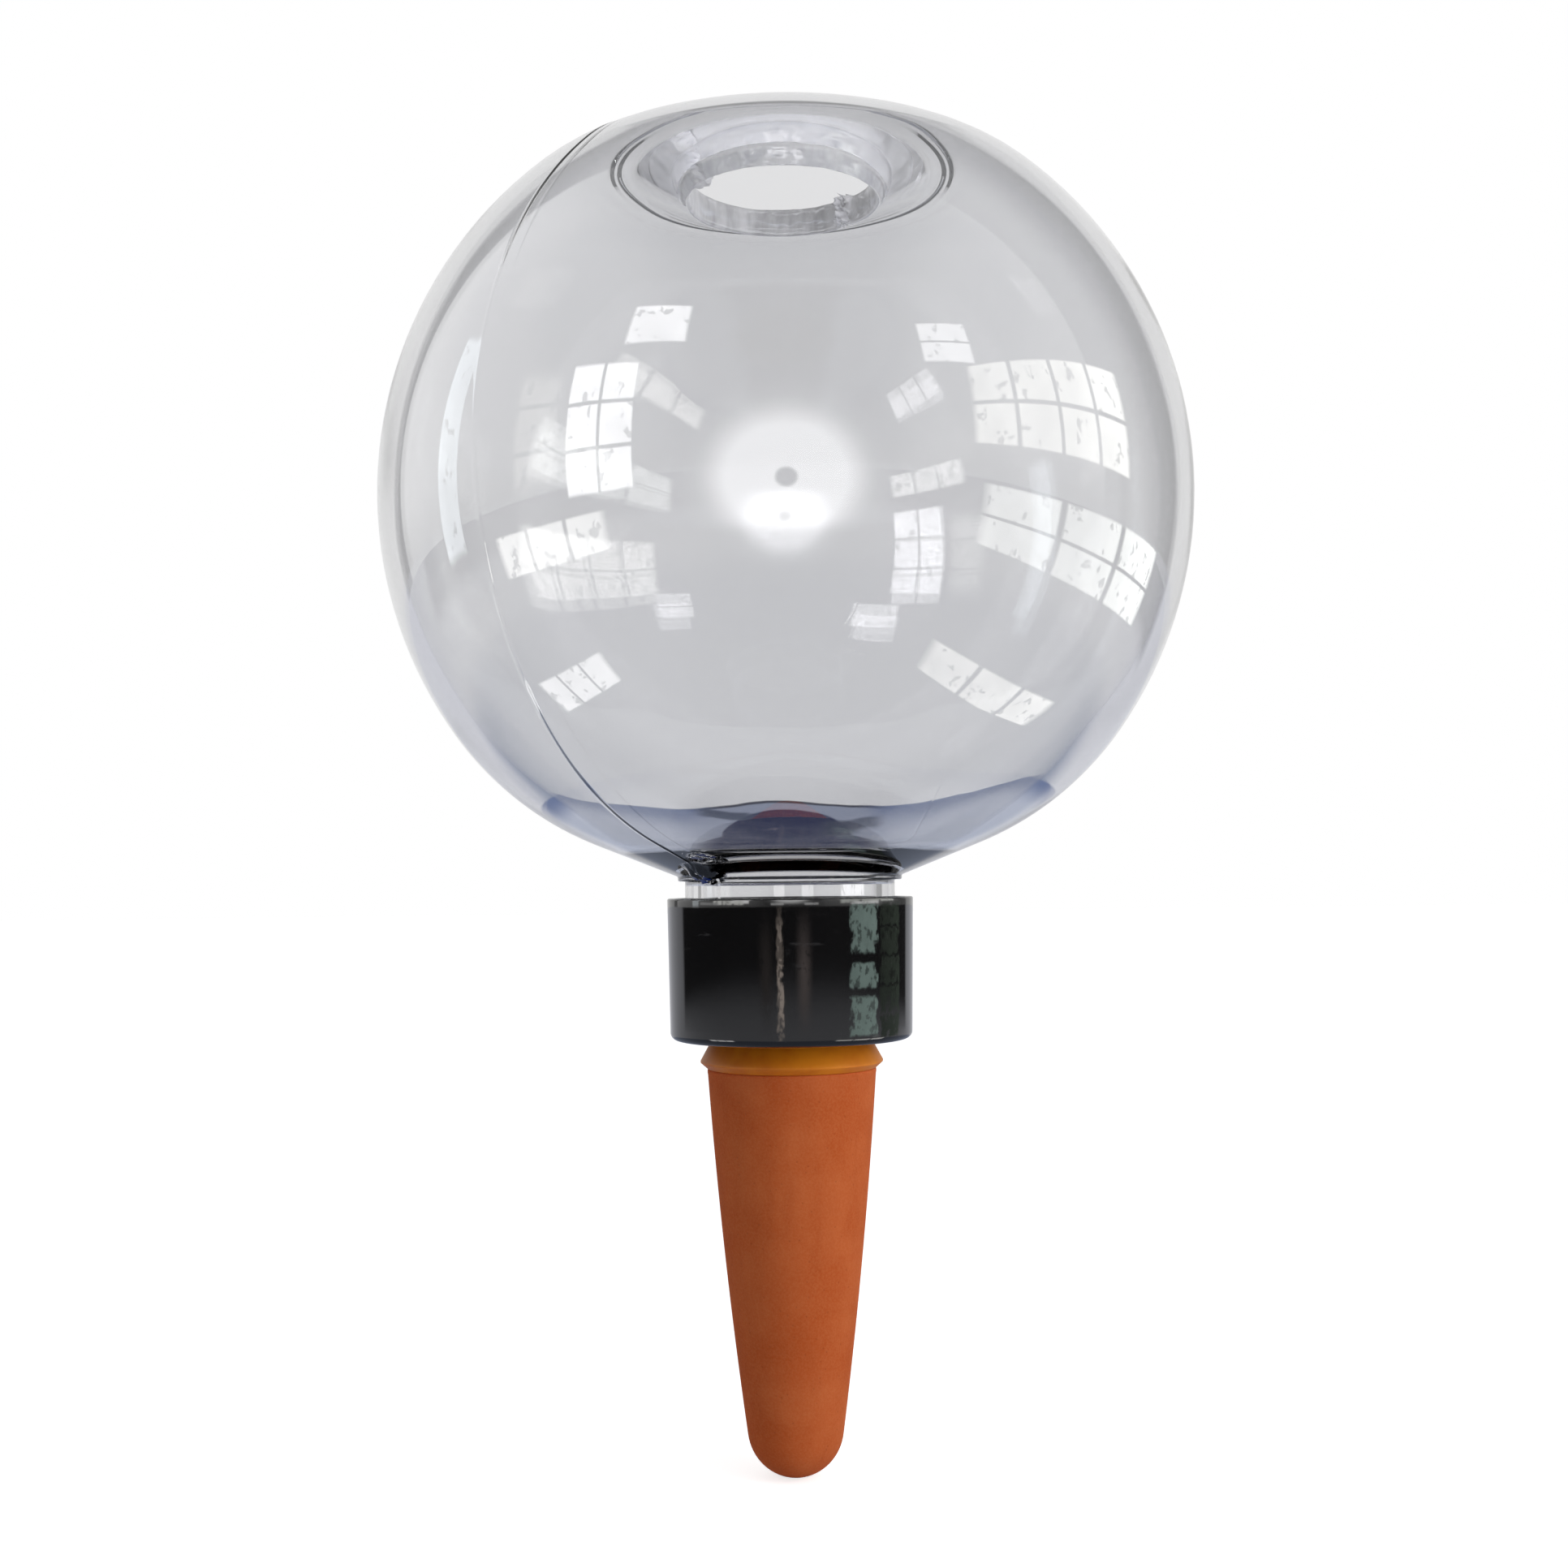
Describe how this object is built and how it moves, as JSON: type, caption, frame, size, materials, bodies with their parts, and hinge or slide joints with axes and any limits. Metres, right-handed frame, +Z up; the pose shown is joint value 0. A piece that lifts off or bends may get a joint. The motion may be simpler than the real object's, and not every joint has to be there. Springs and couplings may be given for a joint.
{
  "type": "watering globe",
  "caption": "Clear globe reservoir with a filler hole on top, screwed neck down into a black collar over a hollow terracotta spike that seeps water into soil.",
  "frame": {"origin": "on the axis at the shoulder of the clay spike, where the buried cone ends under the gasket: the soil line", "axes": "+Z up along the axis, from the spike's tip through the collar to the filler hole; X and Y are level, and -Y faces the picture's viewer"},
  "size_m": [0.101, 0.101, 0.1639],
  "materials": {
    "clear_plastic": "clear, glossy, blown",
    "black_plastic": "glossy, moulded",
    "black_rubber": "matte",
    "amber_rubber": "satin silicone",
    "terracotta": "unglazed, matte"
  },
  "bodies": {
    "spike": {"spike": "terracotta", "gasket": "amber_rubber", "washer": "black_rubber"},
    "collar": {"collar": "black_plastic"},
    "globe": {"globe": "clear_plastic"}
  },
  "joints": [
    {"name": "collar_turn", "type": "hinge", "parent": "spike", "child": "collar", "pos_m": [0, 0, 0.0124], "axis": [0, 0, -1], "range_deg": [0, 720]},
    {"name": "globe_rise", "type": "slide", "parent": "spike", "child": "globe", "axis": [0, 0, 1], "range_m": [0, 0.0093]}
  ],
  "couplings": [
    {"joint": "globe_rise", "follows": "collar_turn", "m_per_rad": 0.00067322}
  ]
}
